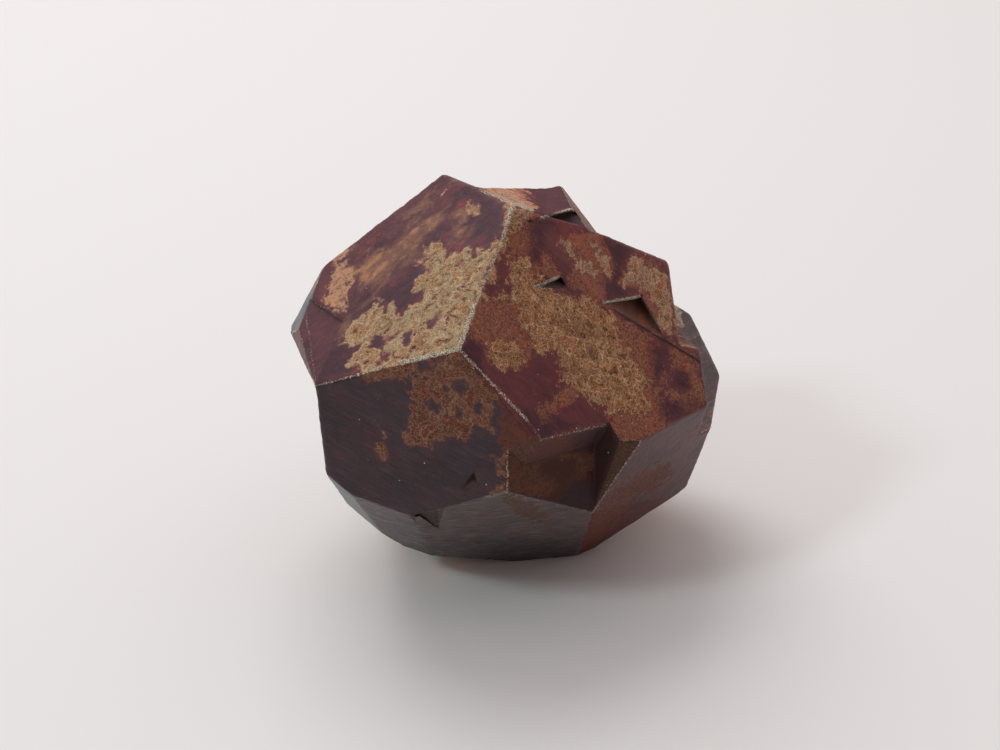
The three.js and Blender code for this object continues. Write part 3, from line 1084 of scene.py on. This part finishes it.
def gather_fields(nodes):
    """The fields of numbers."""
    place = nodes.multiplied(nodes.add("ShaderNodeTexCoord").outputs["Object"], (1 / MM,) * 3)
    lay = nodes.attribute("lay", "Vector")
    given = {name: nodes.attribute(name) for name in NUMBERS}
    given |= {name: nodes.noise(place, lumps) for name, lumps in IN_SPACE.items()}
    given |= {name: nodes.noise(lay, lumps) for name, lumps in ALONG_STREAKS.items()}
    given["scratch"] = nodes.noise(nodes.multiplied(lay, SCRATCH_STRETCH), SCRATCHES)
    bright = nodes.add("ShaderNodeTexVoronoi", {"Vector": place, "Scale": 1 / BRIGHT_SPACING})
    given["from_bright"] = bright.outputs["Distance"]
    given["warmed"] = nodes.plus(given["streak"], nodes.times(given["cloud"], CLOUD_PULL))
    for name, (start, reaches) in WANDERING.items():
        given[name] = nodes.stirred(given, start, reaches)
    grit = given["grit"]
    given |= {name: nodes.blend(grit, *ends) for name, ends in BY_GRIT.items()}
    given["redness"] = nodes.plus(LEAST_REDNESS, given["warmth"])
    given["clumps"] = nodes.step(given["clumped"], *BRIGHT_CLUMPS)

    # Crust is made of flakes where it is smooth and of grains where it is gritty. It is thicker deep
    # inside a smooth patch, and has holes where it is thinnest.
    grains = nodes.math("SUBTRACT", given["grain"], given["flake"])
    calm = nodes.times(nodes.step(given["crust"], *CALM), nodes.blend(grit, CALM_MOST, 0.0))
    given["thickness"] = nodes.plus(given["flake"], nodes.times(grains, grit, GRAINS), calm)
    holes = nodes.times(nodes.step(given["thickness"], *HOLES), HOLE_DEPTH)
    given["crust_edge"] = nodes.plus(given["crust_edge"], holes)
    given["crusted"] = nodes.amount(given, CRUST_LAYER)
    return given


def add_colours(nodes, given):
    """Adds the fields of colour, and the looks of rust, crust and the pale ridge lines of wear and painted
    highlight.
    """
    given |= {name: nodes.attribute(name, "Color") for name in COLOURS}
    given |= PAINTS
    for name, (base, tint, share, other) in MIXTURES.items():
        given[name] = nodes.mix(share, nodes.multiplied(given[base], tint), given[other])
    given["dark"] = nodes.multiplied(given["crust_colour"], DARK_TINT)
    given["rusty"] = nodes.filmed(given, given["rusted_skin"], RUST_FILMS)
    colour = nodes.filmed(given, given["thin"], CRUST_FILMS)
    for name, tint in DUST_TINTS.items():
        given[name + "_dust"] = nodes.mix(given["grit"], given[name], nodes.multiplied(colour, tint))
    given["crusty"] = nodes.filmed(given, colour, DUST_FILMS)
    grain = nodes.step(given["dust"], *WORN_AND_LIT_GRAIN)
    given["worn_and_lit"] = nodes.mix(grain, given["worn_and_lit_dark"], given["worn_and_lit_pale"])


def surface_height(nodes, given, dull):
    """Height of the fine relief: crust stands up from the skin, and dull places are dusty."""
    flakes = nodes.plus(FLAKE_LEAST, nodes.step(given["thickness"], *FLAKE_SLOPE))
    crust = nodes.times(nodes.step(given["crust_edge"], *CRUST_SLOPE), flakes, CRUST_RISE)
    dust = nodes.times(given["dust"], dull, DUST_BUMPS)
    return nodes.plus(crust, dust, *(nodes.times(given[name], rise) for name, rise in BUMPS.items()))


def altered_pyrite():
    """Dark, faintly metallic maroon skin with painted glints, under rust, tan crust, pale ridge lines of wear
    and painted highlight, and painted shade in the grooves.
    """
    material = bpy.data.materials.new("altered pyrite")
    material.use_nodes = True
    nodes = Nodes(material)
    given = gather_fields(nodes)
    add_colours(nodes, given)
    skin = nodes.filmed(given, given["skin"], SKIN_FILMS)
    rust = nodes.times(nodes.amount(given, RUST_LAYER), RUST_DULLNESS)
    dull = nodes.math("MAXIMUM", given["crusted"], nodes.amount(given, WORN_AND_LIT_LAYER), rust, given["matt"])
    bare_roughness = nodes.plus(ROUGHNESS, nodes.times(given["small"], ROUGH_SWING))
    relief = {
        "Height": surface_height(nodes, given, dull),
        "Distance": BUMP_HEIGHT * MM,
        "Strength": BUMP_STRENGTH,
    }

    shader = material.node_tree.nodes["Principled BSDF"].inputs
    shader["Specular IOR Level"].default_value = SPECULAR
    nodes.set(shader["Base Color"], nodes.filmed(given, skin, LAYERS))
    nodes.set(shader["Roughness"], nodes.plus(bare_roughness, nodes.times(dull, DULL_ROUGHNESS)))
    nodes.set(shader["Metallic"], nodes.times(nodes.blend(dull, 1.0, 0.0), METAL))
    nodes.set(shader["Normal"], nodes.add("ShaderNodeBump", relief).outputs["Normal"])
    return material


crystal = bpy.data.objects.new("crystal", crystal_mesh())
bpy.context.collection.objects.link(crystal)
crystal.data.materials.append(altered_pyrite())
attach(crystal, "root")
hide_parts(NODE)


# ---------- floor, light and camera ----------
FLOOR_HALF = 1.5    # half the floor's side, in metres
PAPER, PAPER_ROUGHNESS = paint(236, 232, 231), 0.9
DIM_SIDE, BRIGHT_SIDE = (0.20, 0.17, 0.165, 1), (0.68, 0.63, 0.62, 1)    # the surround's linear colours
BRIGHT_TOWARDS = (105, 42)    # bearing and rise of its bright side
DIM_COSINE, BRIGHT_COSINE = -0.5, 0.9    # of the angle from it where it is dimmest and brightest


def make_floor():
    paper = bpy.data.materials.new("paper")
    paper.use_nodes = True
    shader = paper.node_tree.nodes["Principled BSDF"].inputs
    shader["Base Color"].default_value = PAPER
    shader["Roughness"].default_value = PAPER_ROUGHNESS
    mesh = bpy.data.meshes.new("floor")
    mesh.materials.append(paper)
    corners = [(x * FLOOR_HALF, y * FLOOR_HALF, 0) for x, y in ((-1, -1), (1, -1), (1, 1), (-1, 1))]
    mesh.from_pydata(corners, [], [(0, 1, 2, 3)])
    floor = bpy.data.objects.new("floor", mesh)
    bpy.context.collection.objects.link(floor)


def direction(bearing, rise):
    """Unit vector from the origin at a bearing and a rise above the floor, in degrees."""
    bearing, rise = math.radians(bearing), math.radians(rise)
    return Vector((math.cos(rise) * math.cos(bearing), math.cos(rise) * math.sin(bearing), math.sin(rise)))


def soft_lamp(name, towards, distance, size, energy, colour):
    """A round lamp that faces the crystal; its distance and size are in metres."""
    lamp = bpy.data.lights.new(name, "AREA")
    lamp.shape = "DISK"
    lamp.size = size
    lamp.energy = energy
    lamp.color = colour
    lamp_object = bpy.data.objects.new(name, lamp)
    lamp_object.location = towards * distance
    lamp_object.rotation_euler = towards.to_track_quat("Z", "Y").to_euler()
    bpy.context.collection.objects.link(lamp_object)


def make_surround():
    """An even pale surround, brighter above and behind the crystal than in front of it."""
    world = bpy.data.worlds.new("surround")
    world.use_nodes = True
    nodes = Nodes(world)
    towards = nodes.add("ShaderNodeTexCoord").outputs["Generated"]
    inputs = {0: towards, 1: direction(*BRIGHT_TOWARDS)}
    facing = nodes.add("ShaderNodeVectorMath", inputs, operation="DOT_PRODUCT").outputs["Value"]
    colour = nodes.mix(nodes.step(facing, DIM_COSINE, BRIGHT_COSINE), DIM_SIDE, BRIGHT_SIDE)
    nodes.set(world.node_tree.nodes["Background"].inputs["Color"], colour)
    bpy.context.scene.world = world


def make_lights():
    soft_lamp("key", direction(214, 43), distance=0.3, size=0.05, energy=0.175, colour=(0.78, 0.97, 1.0))
    soft_lamp("back", direction(118, 58), distance=0.2, size=0.16, energy=0.18, colour=(0.95, 0.99, 1.0))
    make_surround()


def make_camera():
    data = bpy.data.cameras.new("camera")
    data.lens = LENS
    data.sensor_width = SENSOR
    data.clip_start = 0.001
    camera = bpy.data.objects.new("camera", data)
    camera.location = CAMERA_AT * MM
    camera.rotation_euler = (math.radians(90 - CAMERA_TILT), 0, 0)
    bpy.context.collection.objects.link(camera)
    bpy.context.scene.camera = camera


make_floor()
make_lights()
make_camera()
bpy.context.scene.view_settings.view_transform = "Standard"
